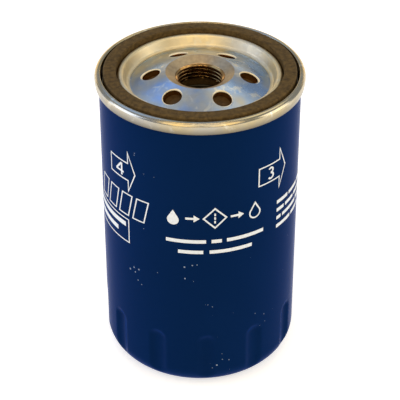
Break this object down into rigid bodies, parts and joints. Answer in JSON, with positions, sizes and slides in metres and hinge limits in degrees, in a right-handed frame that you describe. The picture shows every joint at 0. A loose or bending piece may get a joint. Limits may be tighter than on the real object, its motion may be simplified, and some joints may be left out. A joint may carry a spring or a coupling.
{
  "type": "spin-on oil filter",
  "caption": "Spin-on engine oil filter with seamed steel can, flat rubber gasket, threaded centre hole, inlet holes round it and wrench flutes at the closed end.",
  "frame": {"origin": "centre of the closed end's foot ring, on the filter's axis", "axes": "+Z along the axis from the closed end to the gasket; the front of the printed can faces -Y"},
  "size_m": [0.0774, 0.0774, 0.122],
  "materials": {
    "navy_paint": "gloss baked enamel",
    "zinc_plated_steel": "bright zinc plate",
    "spring_steel": "drawn wire",
    "tinned_steel": "bright tinplate",
    "gasket_rubber": "oiled nitrile rubber",
    "valve_rubber": "moulded nitrile rubber",
    "seam_compound": "cured sealing compound",
    "filter_paper": "resin-treated filter paper",
    "potting": "cured potting adhesive"
  },
  "bodies": {
    "housing": {"can": "navy_paint", "cover_ring": "zinc_plated_steel", "seam_sealant": "seam_compound", "mounting_gasket": "gasket_rubber", "tapping_plate": "zinc_plated_steel", "support_spring": "spring_steel"},
    "element": {"element_seal": "valve_rubber", "top_end_cap": "tinned_steel", "bottom_end_cap": "tinned_steel", "upper_potting": "potting", "lower_potting": "potting", "pleated_media": "filter_paper", "media_clip": "tinned_steel", "centre_tube": "tinned_steel", "bypass_cage": "tinned_steel", "bypass_spring": "spring_steel", "anti_drain_spring": "spring_steel"},
    "bypass_poppet": {"bypass_face_seal": "valve_rubber", "bypass_disc": "tinned_steel", "bypass_stem": "tinned_steel"},
    "anti_drain_ring": {"anti_drain_valve": "valve_rubber"}
  },
  "joints": [
    {"name": "element_float", "type": "slide", "parent": "housing", "child": "element", "axis": [0, 0, -1], "range_m": [0, 0.002], "stiffness_N_per_m": 4000, "springref_m": -0.0075, "deforming": ["support_spring"]},
    {"name": "bypass_lift", "type": "slide", "parent": "element", "child": "bypass_poppet", "axis": [0, 0, 1], "range_m": [0, 0.003], "stiffness_N_per_m": 1100, "springref_m": -0.015, "deforming": ["bypass_spring"]},
    {"name": "anti_drain_lift", "type": "slide", "parent": "element", "child": "anti_drain_ring", "axis": [0, 0, -1], "range_m": [0, 0.0015], "stiffness_N_per_m": 70, "springref_m": -0.004, "deforming": ["anti_drain_spring"]}
  ]
}
